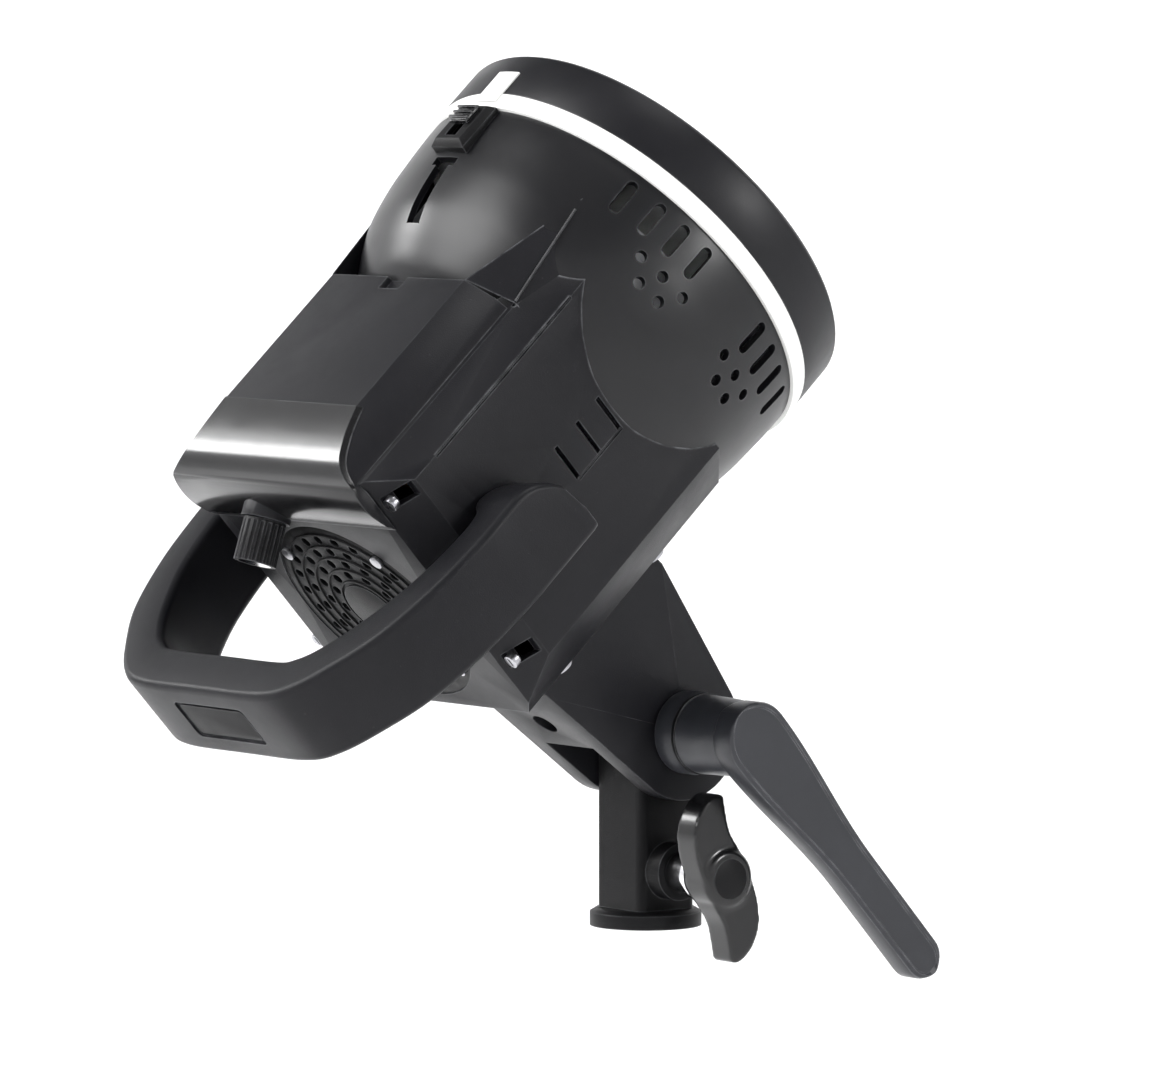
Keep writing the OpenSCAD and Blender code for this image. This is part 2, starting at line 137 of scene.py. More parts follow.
def math_node(tree, operation, a, b):
    node = add(tree, "ShaderNodeMath", operation=operation)
    for socket, value in zip(node.inputs, (a, b)):
        if isinstance(value, (int, float)):
            socket.default_value = value
        else:
            tree.links.new(value, socket)
    return node.outputs[0]


def mix_colour(tree, factor, a, b):
    node = add(tree, "ShaderNodeMix", data_type="RGBA")
    tree.links.new(factor, node.inputs["Factor"])
    for socket, value in ((node.inputs[6], a), (node.inputs[7], b)):
        if isinstance(value, tuple):
            socket.default_value = (*value, 1)
        else:
            tree.links.new(value, socket)
    return node.outputs[2]


def edge_mask(tree, radius, coord):
    """Bright where the surface turns a sharp edge, broken up by noise; it places rubbed wear and a painted edge
    highlight.
    """
    bevel = add(tree, "ShaderNodeBevel", samples=4)
    bevel.inputs["Radius"].default_value = radius
    geometry = add(tree, "ShaderNodeNewGeometry")
    dot = add(tree, "ShaderNodeVectorMath", operation="DOT_PRODUCT")
    tree.links.new(bevel.outputs["Normal"], dot.inputs[0])
    tree.links.new(geometry.outputs["Normal"], dot.inputs[1])
    edge = remap(tree, dot.outputs["Value"], 0.995, 0.86, 0.0, 1.0)
    broken = remap(tree, noise(tree, coord, 160, 4), 0.38, 0.62, 0.25, 1.0)
    return math_node(tree, "MULTIPLY", edge, broken)


def finish_material(name, colour, roughness, grain=1400, bump=0.12, spread=0.06, metallic=0.0, coat=0.0,
                    edge_wear_and_sheen=None, edge_wear_and_sheen_gain=0.5, mottle=0.12, streak=None, specular=0.5, dust=0.0):
    """A moulded, painted or machined surface: grain, uneven gloss, tone drift, rubbed edges that also carry a
    painted edge highlight where the edge colour is lighter, faint dust.
    """
    mat, tree, shader = node_material(name)
    coord = add(tree, "ShaderNodeTexCoord").outputs["Object"]
    drift = noise(tree, coord, 22, 5, 0.6)
    tone = remap(tree, drift, 0.3, 0.7, 0.0, 1.0)
    dark = tuple(c * (1 - mottle) for c in colour)
    light = tuple(min(1, c * (1 + mottle)) for c in colour)
    base = mix_colour(tree, tone, dark, light)
    smear = noise(tree, coord, 55, 6, 0.65, streak or (1, 1, 1))
    rough = remap(tree, smear, 0.3, 0.7, roughness - spread, roughness + spread)
    if dust:
        specks = remap(tree, noise(tree, coord, 900, 2), 0.7, 0.8, 0.0, dust * 0.35)
        base = mix_colour(tree, specks, base, (0.2, 0.2, 0.2))
    # Edge colour: rubbed wear, and where it is lighter than the base, as on the black plastics, a painted edge
    # highlight.
    if edge_wear_and_sheen:
        edge = math_node(tree, "MULTIPLY", edge_mask(tree, 0.0007, coord), edge_wear_and_sheen_gain)
        base = mix_colour(tree, edge, base, edge_wear_and_sheen)
        rough = math_node(tree, "SUBTRACT", rough, math_node(tree, "MULTIPLY", edge, 0.12))
    tree.links.new(base, shader.inputs["Base Color"])
    tree.links.new(rough, shader.inputs["Roughness"])
    fine = noise(tree, coord, grain, 2, 0.5, streak)
    relief = add(tree, "ShaderNodeBump")
    relief.inputs["Strength"].default_value = bump
    relief.inputs["Distance"].default_value = 0.00025
    tree.links.new(fine, relief.inputs["Height"])
    tree.links.new(relief.outputs["Normal"], shader.inputs["Normal"])
    shader.inputs["Metallic"].default_value = metallic
    shader.inputs["Specular IOR Level"].default_value = specular
    if coat:
        shader.inputs["Coat Weight"].default_value = coat
        shader.inputs["Coat Roughness"].default_value = 0.12
    return mat


def glass_material(name, colour, roughness, haze):
    mat, tree, shader = node_material(name)
    coord = add(tree, "ShaderNodeTexCoord").outputs["Object"]
    rough = remap(tree, noise(tree, coord, 90, 5), 0.3, 0.7, roughness * 0.8, roughness * 1.25)
    tree.links.new(rough, shader.inputs["Roughness"])
    relief = add(tree, "ShaderNodeBump")
    relief.inputs["Strength"].default_value = haze
    relief.inputs["Distance"].default_value = 0.0003
    tree.links.new(noise(tree, coord, 1200, 2), relief.inputs["Height"])
    tree.links.new(relief.outputs["Normal"], shader.inputs["Normal"])
    tint = mix_colour(tree, remap(tree, noise(tree, coord, 30, 3), 0.3, 0.7, 0, 1),
                      tuple(c * 0.96 for c in colour), colour)
    tree.links.new(tint, shader.inputs["Base Color"])
    shader.inputs["Transmission Weight"].default_value = 0.85
    shader.inputs["IOR"].default_value = 1.47
    return mat


# Light grey for the black plastics' edges: rubbed wear and a painted edge highlight.
GREY_RUB_AND_SHEEN = (0.28, 0.285, 0.3)
MATERIALS = {
    "housing_black": finish_material("housing_black", (0.006, 0.006, 0.0075), 0.42, 2600, 0.2, 0.05,
                                     specular=0.16, edge_wear_and_sheen=GREY_RUB_AND_SHEEN, edge_wear_and_sheen_gain=0.3, dust=0.18),
    "bell_black": finish_material("bell_black", (0.005, 0.005, 0.006), 0.34, 1500, 0.04, 0.025, specular=0.3,
                                  edge_wear_and_sheen=GREY_RUB_AND_SHEEN, edge_wear_and_sheen_gain=0.22, dust=0.06),
    "ring_black": finish_material("ring_black", (0.0065, 0.0065, 0.008), 0.38, 2200, 0.1, 0.05, specular=0.2,
                                  edge_wear_and_sheen=(0.4, 0.4, 0.42), edge_wear_and_sheen_gain=0.3, dust=0.12),
    "trim_white": finish_material("trim_white", (0.66, 0.66, 0.645), 0.42, 1800, 0.06, 0.05, mottle=0.03,
                                  edge_wear_and_sheen=(0.6, 0.6, 0.58), edge_wear_and_sheen_gain=0.2),
    "lever_grey": finish_material("lever_grey", (0.02, 0.021, 0.025), 0.36, 2400, 0.16, 0.05, specular=0.3,
                                  edge_wear_and_sheen=(0.3, 0.3, 0.32), edge_wear_and_sheen_gain=0.45, dust=0.18),
    "soft_black": finish_material("soft_black", (0.004, 0.004, 0.0045), 0.46, 2200, 0.2, 0.06, specular=0.12,
                                  edge_wear_and_sheen=GREY_RUB_AND_SHEEN, edge_wear_and_sheen_gain=0.3, dust=0.15),
    "knob_gloss": finish_material("knob_gloss", (0.004, 0.004, 0.0045), 0.24, 900, 0.03, 0.04, coat=0.15,
                                  specular=0.3, edge_wear_and_sheen=GREY_RUB_AND_SHEEN, edge_wear_and_sheen_gain=0.25, dust=0.06),
    "bright_steel": finish_material("bright_steel", (0.72, 0.72, 0.74), 0.17, 1500, 0.05, 0.06, metallic=1.0,
                                    mottle=0.05, streak=(1, 8, 8)),
    "screw_steel": finish_material("screw_steel", (0.33, 0.33, 0.35), 0.32, 1500, 0.08, 0.08, metallic=1.0,
                                   mottle=0.1, edge_wear_and_sheen=(0.7, 0.7, 0.72), edge_wear_and_sheen_gain=0.6),
    "brass": finish_material("brass", (0.6, 0.42, 0.16), 0.28, 1300, 0.07, 0.07, metallic=1.0,
                             streak=(8, 1, 1)),
    "alu": finish_material("alu", (0.76, 0.77, 0.78), 0.42, 2600, 0.015, 0.04, metallic=1.0, mottle=0.03),
    "ceramic": finish_material("ceramic", (0.78, 0.76, 0.7), 0.6, 900, 0.15, 0.05, mottle=0.04),
    "phosphor": finish_material("phosphor", (0.85, 0.68, 0.12), 0.55, 1800, 0.2, 0.05, mottle=0.06),
    "board": finish_material("board", (0.012, 0.11, 0.045), 0.35, 600, 0.1, 0.06, mottle=0.2),
    "copper_coil": finish_material("copper_coil", (0.45, 0.17, 0.05), 0.35, 500, 0.5, 0.08, metallic=0.6,
                                   streak=(1, 12, 1)),
    "can_sleeve": finish_material("can_sleeve", (0.02, 0.035, 0.13), 0.3, 700, 0.05, 0.05, coat=0.2),
    "display_glass": finish_material("display_glass", (0.006, 0.009, 0.014), 0.1, 500, 0.01, 0.03, coat=0.8),
    "fan_black": finish_material("fan_black", (0.004, 0.004, 0.0045), 0.46, 1600, 0.12, 0.06, dust=0.2,
                                 specular=0.1),
    "frosted_glass": glass_material("frosted_glass", (0.93, 0.94, 0.95), 0.38, 0.15),
    "clear_glass": glass_material("clear_glass", (0.92, 0.95, 0.98), 0.06, 0.02),
}
SLOT_OF = {s["node"]: s["material_slot"] for s in record["subparts"]}


# ------------------------------------------------------------------ mesh helpers
def make(name, bm, slot_name, body, place=HEAD, smooth_deg=35):
    """A finished piece from a bmesh in millimetres: placed, shaded, given its finish and its body."""
    bmesh.ops.remove_doubles(bm, verts=bm.verts, dist=0.001)
    bmesh.ops.recalc_face_normals(bm, faces=bm.faces)
    mesh = bpy.data.meshes.new(name)
    bm.to_mesh(mesh)
    bm.free()
    mesh.transform(place)
    obj = bpy.data.objects.new(name, mesh)
    bpy.context.scene.collection.objects.link(obj)
    mesh.materials.append(MATERIALS[slot_name])
    for polygon in mesh.polygons:
        polygon.use_smooth = True
    mesh.set_sharp_from_angle(angle=math.radians(smooth_deg))
    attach(obj, body)
    return obj


def skin(bm, rings):
    """Faces between successive closed rings of points, with a cap on each end."""
    rows = [[bm.verts.new(p) for p in ring] for ring in rings]
    count = len(rows[0])
    for a, b in zip(rows, rows[1:]):
        for i in range(count):
            j = (i + 1) % count
            bm.faces.new((a[i], a[j], b[j], b[i]))
    bm.faces.new(rows[0][::-1])
    bm.faces.new(rows[-1])


def spline(points, steps):
    """Catmull-Rom points through a list, each span cut into steps."""
    pts = [Vector(p) for p in points]
    pts = [pts[0] * 2 - pts[1]] + pts + [pts[-1] * 2 - pts[-2]]
    out = []
    for a, b, c, d in zip(pts, pts[1:], pts[2:], pts[3:]):
        for i in range(steps):
            t = i / steps
            out.append(0.5 * ((2 * b) + (c - a) * t + (2 * a - 5 * b + 4 * c - d) * t * t
                              + (3 * b - a - 3 * c + d) * t ** 3))
    out.append(pts[-2])
    return out


def round_section(u0, u1, v0, v1, radius, arc=5):
    """A rounded rectangle, counter-clockwise, as (u, v) pairs."""
    radius = min(radius, abs(u1 - u0) / 2.02, abs(v1 - v0) / 2.02)
    out = []
    for cu, cv, start in ((u1 - radius, v1 - radius, 0), (u0 + radius, v1 - radius, 90),
                          (u0 + radius, v0 + radius, 180), (u1 - radius, v0 + radius, 270)):
        for i in range(arc + 1):
            angle = math.radians(start + 90 * i / arc)
            out.append((cu + radius * math.cos(angle), cv + radius * math.sin(angle)))
    return out


def lathe(bm, profile, centre, axis, segments=96):
    """Turns (radius, along) pairs about an axis through centre; closes on the axis where radius is 0."""
    axis = Vector(axis).normalized()
    side = axis.orthogonal().normalized()
    other = axis.cross(side)
    rows = []
    for radius, along in profile:
        middle = Vector(centre) + axis * along
        if radius < 1e-6:
            rows.append([bm.verts.new(middle)])
            continue
        rows.append([bm.verts.new(middle + (side * math.cos(a) + other * math.sin(a)) * radius)
                     for a in (math.tau * i / segments for i in range(segments))])
    for a, b in zip(rows, rows[1:]):
        for i in range(segments):
            j = (i + 1) % segments
            quad = [a[i % len(a)], a[j % len(a)], b[j % len(b)], b[i % len(b)]]
            unique = list(dict.fromkeys(quad))
            if len(unique) > 2:
                bm.faces.new(unique)


def slab(bm, outline, low, high, to_point):
    """A prism of a flat outline between two levels; to_point turns (u, v, level) into a point."""
    skin(bm, [[to_point(u, v, low) for u, v in outline], [to_point(u, v, high) for u, v in outline]])


def mesh_object(name, bm):
    """An object from a bmesh, without a finish or a body: a blank, a cutter or the floor."""
    bmesh.ops.remove_doubles(bm, verts=bm.verts, dist=0.0005)
    bmesh.ops.recalc_face_normals(bm, faces=bm.faces)
    mesh = bpy.data.meshes.new(name)
    bm.to_mesh(mesh)
    bm.free()
    obj = bpy.data.objects.new(name, mesh)
    bpy.context.scene.collection.objects.link(obj)
    return obj


def modified(obj, setups):
    """The object's mesh after the given modifiers, as a new bmesh; the object is dropped."""
    for kind, values in setups:
        modifier = obj.modifiers.new(kind, kind)
        for key, value in values.items():
            setattr(modifier, key, value)
    graph = bpy.context.evaluated_depsgraph_get()
    mesh = bpy.data.meshes.new_from_object(obj.evaluated_get(graph))
    bm = bmesh.new()
    bm.from_mesh(mesh)
    bpy.data.meshes.remove(mesh)
    old = obj.data
    bpy.data.objects.remove(obj)
    bpy.data.meshes.remove(old)
    return bm


def cut(target, cutter_bm):
    """target minus a cutter, as a new bmesh; both objects are dropped."""
    cutter = mesh_object("cutter", cutter_bm)
    bm = modified(target, [("BOOLEAN", {"operation": "DIFFERENCE", "object": cutter, "solver": "EXACT",
                                        "use_self": False})])
    old = cutter.data
    bpy.data.objects.remove(cutter)
    bpy.data.meshes.remove(old)
    return bm


# ------------------------------------------------------------------ CAD nodes: finish and softened edges
BEVEL = {  # node: edge radius in millimetres
    "main_housing": 0.5, "top_cover": 0.7, "bracket": 0.8, "receiver": 0.5, "bayonet_ring": 0.4,
    "trim_ring": 0.25, "lock_housing": 0.4, "lock_slider": 0.3, "power_rocker": 0.4, "power_inlet": 0.3,
    "button_mode": 0.3, "button_test": 0.3, "control_knob": 0.2, "umbrella_knob": 0.4, "fan_rotor": 0.2,
    "fan_frame": 0.3, "bracket_screws": 0.2, "tilt_bolt": 0.3, "stand_sleeve": 0.25, "display_window": 0.2,
    "grille_screws": 0.25, "handle_screws": 0.25, "case_screws": 0.2, "transformer": 0.5, "rear_grille": 0.2,
}


def dress_cad_nodes():
    for name, obj in frame["nodes"].items():
        obj.data.materials.clear()
        obj.data.materials.append(MATERIALS[SLOT_OF[name]])
        weld = obj.modifiers.new("weld", "WELD")
        weld.merge_threshold = 0.00001
        if name in BEVEL:
            bevel = obj.modifiers.new("soft_edges", "BEVEL")
            bevel.width = BEVEL[name] * MM
            bevel.segments = 2
            bevel.limit_method = "ANGLE"
            bevel.angle_limit = math.radians(38)
            bevel.use_clamp_overlap = True
            bevel.harden_normals = False
        smooth_by_angle(obj, 32)


def smooth_by_angle(obj, degrees):
    """Smooth shading with sharp edges by angle, from a node modifier so that the mesh stays as packed."""
    group = bpy.data.node_groups.get("smooth_by_angle_%d" % degrees)
    if group is None:
        group = bpy.data.node_groups.new("smooth_by_angle_%d" % degrees, "GeometryNodeTree")
        group.interface.new_socket("Geometry", in_out="INPUT", socket_type="NodeSocketGeometry")
        group.interface.new_socket("Geometry", in_out="OUTPUT", socket_type="NodeSocketGeometry")
        start = group.nodes.new("NodeGroupInput")
        end = group.nodes.new("NodeGroupOutput")
        faces = group.nodes.new("GeometryNodeSetShadeSmooth")
        faces.domain = "FACE"
        edges = group.nodes.new("GeometryNodeSetShadeSmooth")
        edges.domain = "EDGE"
        angle = group.nodes.new("GeometryNodeInputMeshEdgeAngle")
        compare = group.nodes.new("FunctionNodeCompare")
        compare.data_type = "FLOAT"
        compare.operation = "LESS_THAN"
        compare.inputs[1].default_value = math.radians(degrees)
        group.links.new(start.outputs[0], faces.inputs["Geometry"])
        group.links.new(faces.outputs["Geometry"], edges.inputs["Geometry"])
        group.links.new(angle.outputs["Unsigned Angle"], compare.inputs[0])
        group.links.new(compare.outputs["Result"], edges.inputs["Shade Smooth"])
        group.links.new(edges.outputs["Geometry"], end.inputs[0])
    modifier = obj.modifiers.new("smooth", "NODES")
    modifier.node_group = group


# ------------------------------------------------------------------ pieces
def loop_handle():
    """The rear loop handle, its screw holes, and a plain raised plate in its rear recess."""
    outer = [(0, -202), (31, -201.6), (44, -197), (55, -186.5), (65.5, -172), (72.4, -152), (75.1, -133),
             (75.2, -121), (75.2, -112), (75.2, HANDLE_ROOT)]
    inner = [(0, -186.3), (27, -186.3), (34.5, -184.6), (41, -180), (49, -170), (57.5, -153), (61.6, -134),
             (61.2, -123), (56.4, -116.5), (55.7, HANDLE_ROOT)]
    out_pts, in_pts = spline(outer, 6), spline(inner, 6)
    z_low, z_high = HANDLE_Z

    def top_at(y):
        """The upper face's height: it rounds down over a short run at the arms' front ends."""
        run, fall = 17.0, 18.5
        back = max(0.0, min(1.0, (y - (HANDLE_ROOT - run)) / run))
        return z_high - fall * (1 - math.sqrt(max(0.0, 1 - back * back)))

    rings = []
    for side in (1, -1):
        half = []
        for o, i in zip(out_pts, in_pts):
            thick = (o - i).length
            across = (o - i) / thick
            top = top_at(max(o.y, i.y))
            section = round_section(0, thick, z_low, top, 2.4, 5)
            half.append([(side * (i.x + across.x * u), i.y + across.y * u, v) for u, v in section])
        rings.append(half)
    order = rings[0][::-1] + rings[1][1:]

    def inset(ring, by, push):
        middle = sum((Vector(p) for p in ring), Vector()) / len(ring)
        return [tuple(Vector(p) + (middle - Vector(p)) * by + Vector((0, push, 0))) for p in ring]
    first, last = order[0], order[-1]
    order = [inset(first, 0.12, 0)] + [inset(first, 0.03, -0.5)] + order[1:-1] + [inset(last, 0.03, -0.5)] \
        + [inset(last, 0.12, 0)]
    bm = bmesh.new()
    skin(bm, order)
    body = mesh_object("grip_blank", bm)
    cutter = bmesh.new()
    slab(cutter, round_section(-18, 18, -6, 9, 2, 6), -203, -201.2, lambda u, v, y: (u, y, v))
    for x in (-1, 1):
        for y in (-103.5, -114.5):
            lathe(cutter, [(0, -2), (2.1, -2), (2.1, 10.3), (0, 10.3)], (x * 55.7, y, 0), (x, 0, 0), 24)
    bm = cut(body, cutter)
    grip = make("handle_grip", bm, "housing_black", "head", smooth_deg=30)
    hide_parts("handle")
    bm = bmesh.new()
    skin(bm, [[(u, -201.3, v) for u, v in round_section(-16.5, 16.5, -4.6, 7.6, 1.6, 5)],
              [(u, -201.62, v) for u, v in round_section(-16.5, 16.5, -4.6, 7.6, 1.6, 5)],
              [(u, -201.75, v) for u, v in round_section(-16.2, 16.2, -4.3, 7.3, 1.5, 5)]])
    make("handle_badge_blank", bm, "soft_black", "head")


def tilt_lever():
    """The lever: a long tapered teardrop with a raised rim on its outer face, its hub and a collar."""
    x_in, x_out = LEVER_X

    def half_width(s):
        if s < 0:
            return math.sqrt(max(0.0, LEVER_HEAD_R ** 2 - s * s))
        if s > LEVER_L:
            return math.sqrt(max(0.0, LEVER_TIP_R ** 2 - (s - LEVER_L) ** 2))
        neck = 0.5 - 0.5 * math.cos(math.pi * min(1, s / 60))
        waist = LEVER_HEAD_R + (LEVER_WAIST - LEVER_HEAD_R) * neck
        flare = max(0.0, (s - 60) / (LEVER_L - 60))
        return waist + (LEVER_TIP_R - LEVER_WAIST) * flare

    def section(s):
        w = max(half_width(s), 0.15)
        edge = min(1.5, w * 0.4)
        inset = min(1.5, w * 0.25)
        bow = 0.8 * math.sin(math.pi * max(0, min(1, s / LEVER_L)))
        low = x_in + bow
        deep = 0.55 if w > 3.5 else 0.0
        pts = [(-w + edge, low), (w - edge, low), (w - edge * 0.3, low + edge * 0.3), (w, low + edge),
               (w, x_out - edge), (w - edge * 0.3, x_out - edge * 0.3), (w - edge, x_out),
               (w - edge - inset * 0.3, x_out), (w - edge - inset * 0.6, x_out - deep),
               (0.5 * (w - edge - inset), x_out - deep), (0, x_out - deep)]
        mirror = [(-u, x) for u, x in pts[::-1] if abs(u) > 1e-6 and (u, x) != pts[1]]
        ring = pts + [m for m in mirror if m not in pts]
        return [(x, PIVOT.y + u, PIVOT.z - s) for u, x in ring]

    stations = [-LEVER_HEAD_R * math.cos(math.pi / 2 * i / 10) for i in range(0, 10)]
    stations += [LEVER_L * i / 36 for i in range(37)]
    stations += [LEVER_L + LEVER_TIP_R * math.sin(math.pi / 2 * i / 8) for i in range(1, 9)]
    bm = bmesh.new()
    skin(bm, [section(s) for s in stations])
    arm = make("lever_arm", bm, "lever_grey", "lever", smooth_deg=40)
    bm = bmesh.new()
    lathe(bm, [(6.1, 20.3), (12.2, 20.3), (13, 21.1), (13, 26), (12.4, 27), (12.1, 40), (11.9, 44.5),
               (11.3, 48.6), (9, 49.5), (0, 49.5), (0, 44), (6.1, 44), (6.1, 20.3)],
          (0, PIVOT.y, PIVOT.z), (1, 0, 0), 72)
    make("lever_hub", bm, "lever_grey", "lever")
    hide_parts("tilt_lever")
    bm = bmesh.new()
    lathe(bm, [(12.05, 28.6), (12.7, 28.9), (12.7, 30.3), (12.05, 30.6), (12.05, 28.6)],
          (0, PIVOT.y, PIVOT.z), (1, 0, 0), 72)
    make("lever_collar", bm, "soft_black", "lever")


def wing_knob():
    """The clamp knob: a moulded S of two rounded wings on a hub, with a plain cap."""
    lean = math.radians(23)

    def put(u, v, x):
        return (x, u * math.cos(lean) - v * math.sin(lean), KNOB_H + u * math.sin(lean) + v * math.cos(lean))
    bm = bmesh.new()
    lathe(bm, [(0, 30.2), (8, 30.2), (9.3, 31.4), (9.3, 41.5), (8, 42.7), (0, 42.7)],
          (0, 0, KNOB_H), (1, 0, 0), 48)
    wing = [(-8.6, -2), (-8.6, 5), (-8, 12), (-5.6, 19), (-0.6, 24), (5, 26), (8.4, 24.6), (7.6, 20),
            (6.6, 13), (7.8, 6), (8.6, -2)]
    for turn in (1, -1):
        edge = [(turn * p.x, turn * p.y) for p in spline([(u, v, 0) for u, v in wing], 5)]
        slab(bm, edge, 31.4, 41.4, put)
    blank = mesh_object("knob_blank", bm)
    bm = modified(blank, [("REMESH", {"mode": "VOXEL", "voxel_size": 0.55}),
                          ("SMOOTH", {"factor": 0.6, "iterations": 9})])
    bore = bmesh.new()
    lathe(bore, [(0, 20), (4.05, 20), (4.05, 37.1), (0, 37.1)], (0, 0, KNOB_H), (1, 0, 0), 32)
    knob = make("clamp_knob_wings", cut(mesh_object("knob_smooth", bm), bore), "knob_gloss", "clamp_knob",
                BASE, 60)
    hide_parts("stand_knob")
    bm = bmesh.new()
    lathe(bm, [(0, 42.2), (6.4, 42.2), (6.4, 42.75), (6, 42.95), (0, 42.95)], (0, 0, KNOB_H), (1, 0, 0), 48)
    make("clamp_knob_cap", bm, "soft_black", "clamp_knob", BASE)


def bell_shell():
    """The flared bell: vents on both sides, and the lock's T-shaped and plain slots on top."""
    outline = spline([(r, y, 0) for r, y in BELL_PROFILE], 7)
    outer = [(min(p.x, 69.6), p.y) for p in outline]
    inner = [(r - WALL, y) for r, y in outer[::-1]]
    bm = bmesh.new()
    lathe(bm, outer + inner + [outer[0]], (0, 0, 0), (0, 1, 0), 192)
    bmesh.ops.remove_doubles(bm, verts=bm.verts, dist=0.001)
    shell = mesh_object("bell_blank", bm)
    cutter = bmesh.new()
    vent_width, vent_depth = 3.8, (54, 76)
    vent_rows = (((13, 21, 29, 38), -20.9, -8.6), ((10, 17.5, 25), -27.9, -24.1), ((14, 21), -34.4, -30.6))

    def pocket(angle, y0, y1):
        """A round-ended opening along the beam, cut straight out at an angle round the bell."""
        turn = Matrix.Rotation(-math.radians(angle), 3, "Y")
        half = vent_width / 2
        edge = [(half * math.cos(a), y1 - half + half * math.sin(a)) for a in
                (math.pi * i / 8 for i in range(9))]
        edge += [(-half * math.cos(a), y0 + half - half * math.sin(a)) for a in
                 (math.pi * i / 8 for i in range(9))]
        slab(cutter, edge, *vent_depth, lambda u, v, x: tuple(turn @ Vector((x, v, u))))
    for side in (0, 180):
        for half in (1, -1):
            for angles, y0, y1 in vent_rows:
                for angle in angles:
                    pocket(side + half * angle, y0, y1)
    tee = [(-5.5, -25.8), (-5.5, -29), (-3.2, -29), (-3.2, -49), (3.2, -49), (3.2, -29),
           (5.5, -29), (5.5, -25.8)]
    for edge in (tee, [(-2.6, -9), (-2.6, -21), (2.6, -21), (2.6, -9)]):
        slab(cutter, edge, 48, 76, lambda u, v, z: (u, v, z))
    bell = make("bell_shell", cut(shell, cutter), "bell_black", "head", smooth_deg=32)
    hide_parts("bell")


def front_details():
    """The reflector pan round the dome, and the index dots on the ring."""
    bm = bmesh.new()
    lathe(bm, [(33.2, -1.6), (34, -0.9), (38, -1.3), (52, -0.6), (60, 1.5), (64.5, 5), (65.6, 9), (65.85, 9),
               (65.85, -1.4), (33.2, -1.45)], (0, 0, 0), (0, 1, 0), 144)
    make("reflector_pan", bm, "alu", "head")
    for index, angle in enumerate((90, 210, 330)):
        bm = bmesh.new()
        turn = math.radians(angle)
        lathe(bm, [(0, 17.9), (1.3, 17.9), (1.3, 18.05), (1.1, 18.09), (0, 18.09)],
              (math.cos(turn) * 66, 0, math.sin(turn) * 66), (0, 1, 0), 24)
        make("index_dot_%d" % index, bm, "trim_white", "head")


def fan_guard_ribs():
    """Raised rings over the rear grille."""
    for index, radius in enumerate((12.4, 17.3, 22.3, 27.3, 32.3)):
        bm = bmesh.new()
        lathe(bm, [(radius - 0.45, -138.75), (radius - 0.3, -139.25), (radius + 0.3, -139.25),
                   (radius + 0.45, -138.75), (radius - 0.45, -138.75)], (0, 0, -14), (0, 1, 0), 96)
        make("grille_ring_%d" % index, bm, "fan_black", "head")


def rear_cap():
    """The glossy rounded end of the control box, a thin moulding over its slope and rear lip."""
    spine = spline([(-118.2, 54.72, 0), (-125, 53.5, 0), (-131, 52.05, 0), (-136.8, 50.1, 0),
                    (-140.7, 47.1, 0), (-142.85, 43, 0), (-143.45, 38, 0), (-142.85, 33, 0), (-141.1, 27.6, 0)], 4)
    box_top, half_at_top, widest, flare = 54.7, 34.2, 46.8, 1.25
    rings = []
    for p in spine:
        y, z = p.x, p.y
        drop = max(0.0, box_top - z)
        half = min(widest, half_at_top + drop * flare)
        corner = min(widest + 0.1, half + 1.5)
        rings.append([(-corner, y + 0.9, z - 1.6), (-half - 0.4, y + 0.15, z - 0.35), (-half, y, z),
                      (half, y, z), (half + 0.4, y + 0.15, z - 0.35), (corner, y + 0.9, z - 1.6),
                      (half - 1, y + 0.9, z - 1.2), (-half + 1, y + 0.9, z - 1.2)])
    bm = bmesh.new()
    skin(bm, rings)
    make("box_rear_cap", bm, "knob_gloss", "head", smooth_deg=40)


def shoulders():
    """Flat facets that run from the box's front corners up on to the bell, and the ridges on their edges."""
    for name, side in (("right", 1), ("left", -1)):
        box_corner, ridge_back, apex = (34, -64, 54.6), (46.8, -62, 43.5), (47.9, -22.5, 49.5)
        seam_end, low, inner = (55.4, -64, 33.6), (54.9, -47.5, 30.6), (40, -50, 34)
        bm = bmesh.new()
        corner = {p: bm.verts.new((p[0] * side, p[1], p[2]))
                  for p in (box_corner, ridge_back, apex, seam_end, low, inner)}
        for face in ((box_corner, ridge_back, apex), (ridge_back, seam_end, low), (ridge_back, low, apex),
                     (inner, box_corner, apex), (inner, apex, low), (inner, low, seam_end),
                     (inner, seam_end, ridge_back), (inner, ridge_back, box_corner)):
            bm.faces.new([corner[p] for p in face])
        make("shoulder_" + name, bm, "housing_black", "head", smooth_deg=8)
        ridge("shoulder_ridge_" + name, side, (47.2, -61.5, 43.7), (48.0, -27, 48.9), 0.45)
        ridge("seam_ridge_" + name, side, (55.0, -128, 34.7), (55.0, -62, 34.7), 0.3)


def ridge(name, side, start, end, half):
    """A fine polished bead along an edge of the black moulding."""
    rings = [[(side * (x + half * math.cos(a)), y, z + half * math.sin(a))
              for a in (math.tau * i / 8 for i in range(8))] for x, y, z in (start, end)]
    bm = bmesh.new()
    skin(bm, rings)
    make(name, bm, "bell_black", "head")


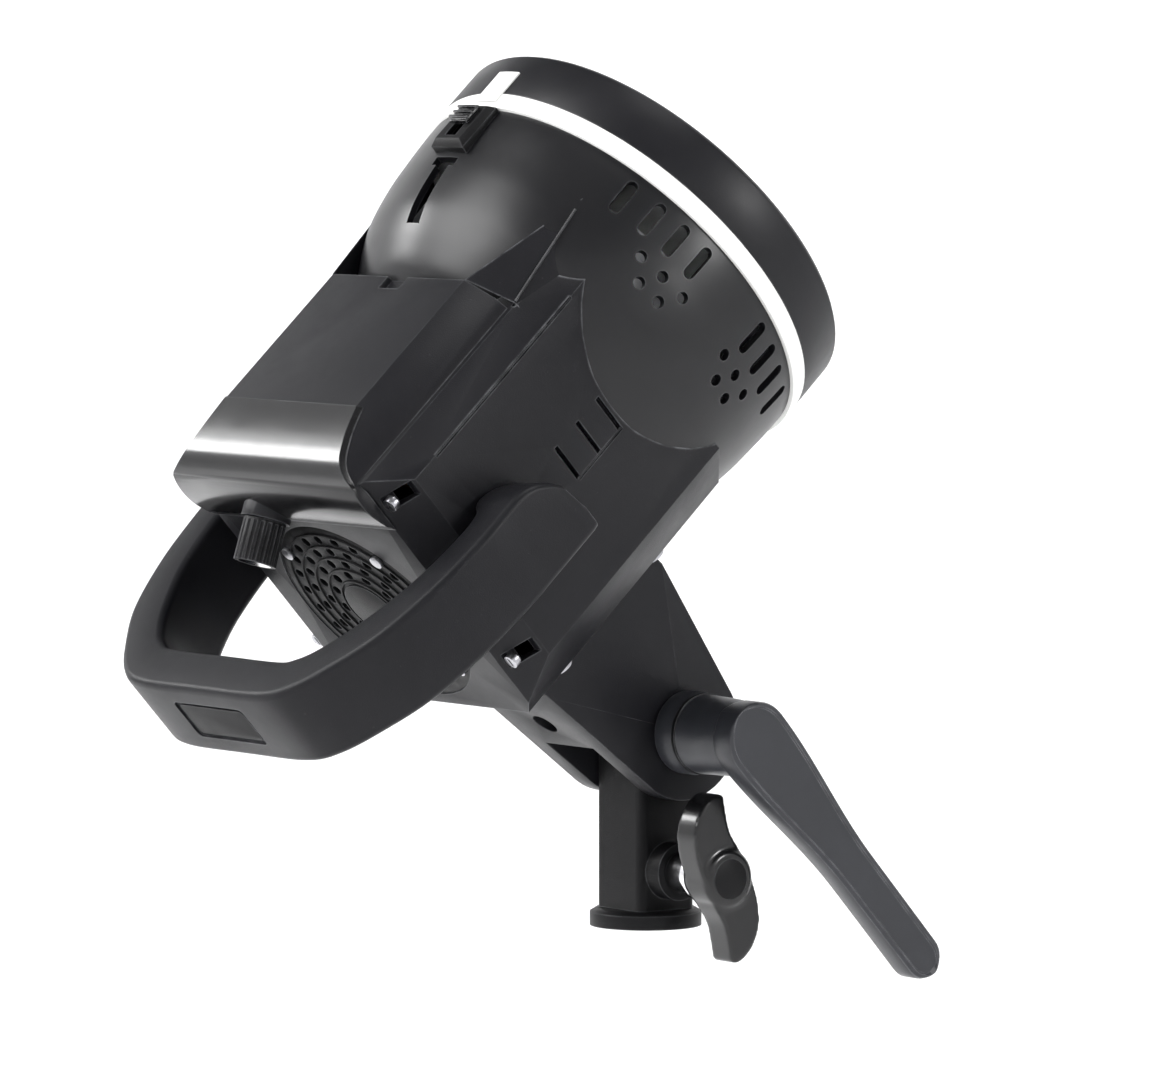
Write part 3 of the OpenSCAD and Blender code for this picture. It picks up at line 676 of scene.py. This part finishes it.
def floor_and_light():
    """A pale round floor that curves up all the way round, a dim white world and four soft lamps."""
    reach, rise, bend = FLOOR_REACH, FLOOR_RISE, FLOOR_BEND
    ground = CAD_BOX[0][2] - FLOOR_DROP
    profile = [(0, ground), (reach - bend, ground)]
    profile += [(reach - bend + bend * math.sin(a), ground + bend * (1 - math.cos(a)))
                for a in (math.pi / 2 * i / 16 for i in range(1, 17))]
    profile.append((reach, ground + rise))
    bm = bmesh.new()
    lathe(bm, profile, (0, 0, 0), (0, 0, 1), 96)
    floor = mesh_object("floor", bm)
    mat, tree, shader = node_material("paper_floor")
    coord = add(tree, "ShaderNodeTexCoord").outputs["Object"]
    tone = mix_colour(tree, noise(tree, coord, 3, 4), (0.86, 0.86, 0.865), (0.9, 0.9, 0.905))
    tree.links.new(tone, shader.inputs["Base Color"])
    shader.inputs["Roughness"].default_value = 0.85
    shader.inputs["Emission Color"].default_value = (1, 1, 1, 1)
    shader.inputs["Emission Strength"].default_value = FLOOR_GLOW
    floor.data.materials.append(mat)
    for polygon in floor.data.polygons:
        polygon.use_smooth = True

    world = bpy.data.worlds.new("studio")
    bpy.context.scene.world = world
    world.use_nodes = True
    world.node_tree.nodes["Background"].inputs["Color"].default_value = (1, 1, 1, 1)
    world.node_tree.nodes["Background"].inputs["Strength"].default_value = WORLD_LIGHT

    centre = (Vector(CAD_BOX[0]) + Vector(CAD_BOX[1])) / 2
    for name, place, size, power in LAMPS:
        light = bpy.data.lights.new(name, "AREA")
        light.shape = "DISK"
        light.size = size
        light.energy = power
        obj = bpy.data.objects.new(name, light)
        obj.location = centre + Vector(place)
        obj.rotation_euler = (centre - obj.location).to_track_quat("-Z", "Y").to_euler()
        bpy.context.scene.collection.objects.link(obj)


def camera():
    """At the photo's viewing angle, closer in on the head."""
    data = bpy.data.cameras.new("camera")
    data.sensor_width = 36
    data.lens = CAMERA_LENS
    obj = bpy.data.objects.new("camera", data)
    obj.location = CAMERA_PLACE
    obj.rotation_euler = (Vector(CAMERA_AIM) - obj.location).to_track_quat("-Z", "Y").to_euler()
    bpy.context.scene.collection.objects.link(obj)
    bpy.context.scene.camera = obj
    bpy.context.scene.view_settings.view_transform = "Standard"


dress_cad_nodes()
loop_handle()
tilt_lever()
wing_knob()
bell_shell()
front_details()
fan_guard_ribs()
rear_cap()
shoulders()
floor_and_light()
camera()
